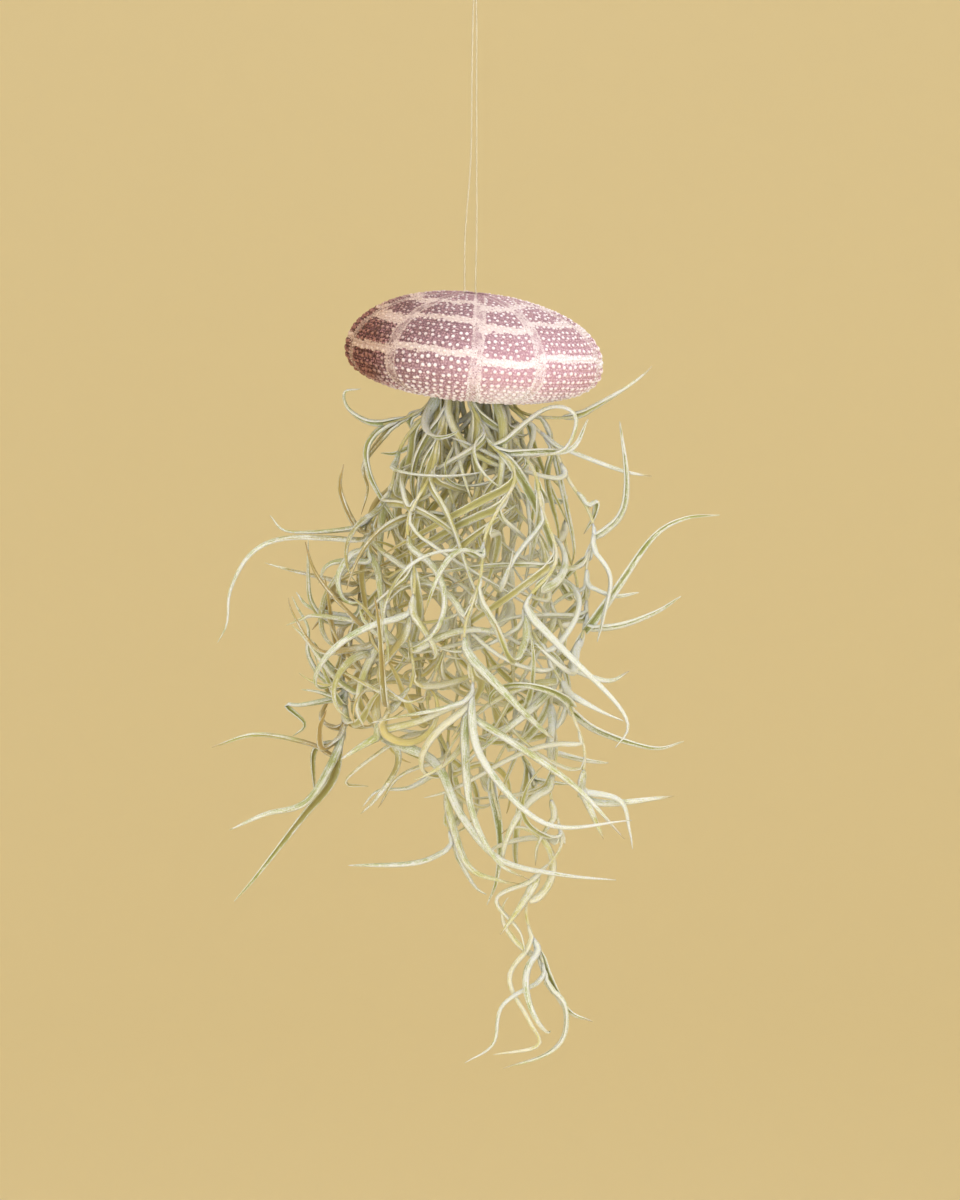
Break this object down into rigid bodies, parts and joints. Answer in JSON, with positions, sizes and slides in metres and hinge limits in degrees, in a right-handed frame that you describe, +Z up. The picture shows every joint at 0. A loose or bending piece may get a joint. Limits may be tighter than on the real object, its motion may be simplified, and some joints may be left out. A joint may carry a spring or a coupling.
{
  "type": "spanish moss air plant hanging from a sea urchin shell",
  "caption": "Curly silver-green spanish moss that trails from the mouth of an upturned banded urchin shell, hung on a doubled clear line with a knot and a loop.",
  "frame": {"origin": "inside of the hanging loop's top, where it bears on a hook", "axes": "+Z up along the hanging line, +X to the right in the picture, +Y to the back"},
  "size_m": [0.158, 0.1156, 0.3575],
  "materials": {
    "shell": "matte",
    "toggle": "matte",
    "line": "gloss",
    "moss": "matte"
  },
  "bodies": {
    "root": {"urchin_shell": "shell", "toggle": "toggle", "line_tie": "line", "line": "line", "knot": "line", "strand_front": "moss", "strand_front_right": "moss", "strand_right": "moss", "strand_back_right": "moss", "strand_back": "moss", "strand_back_left": "moss", "strand_left_back": "moss", "strand_left": "moss", "strand_front_left": "moss", "strand_tail": "moss", "strand_middle_right": "moss", "strand_middle_back": "moss", "strand_middle_left": "moss", "strand_middle_front": "moss", "strand_top_right": "moss", "strand_top_left": "moss"}
  },
  "joints": []
}
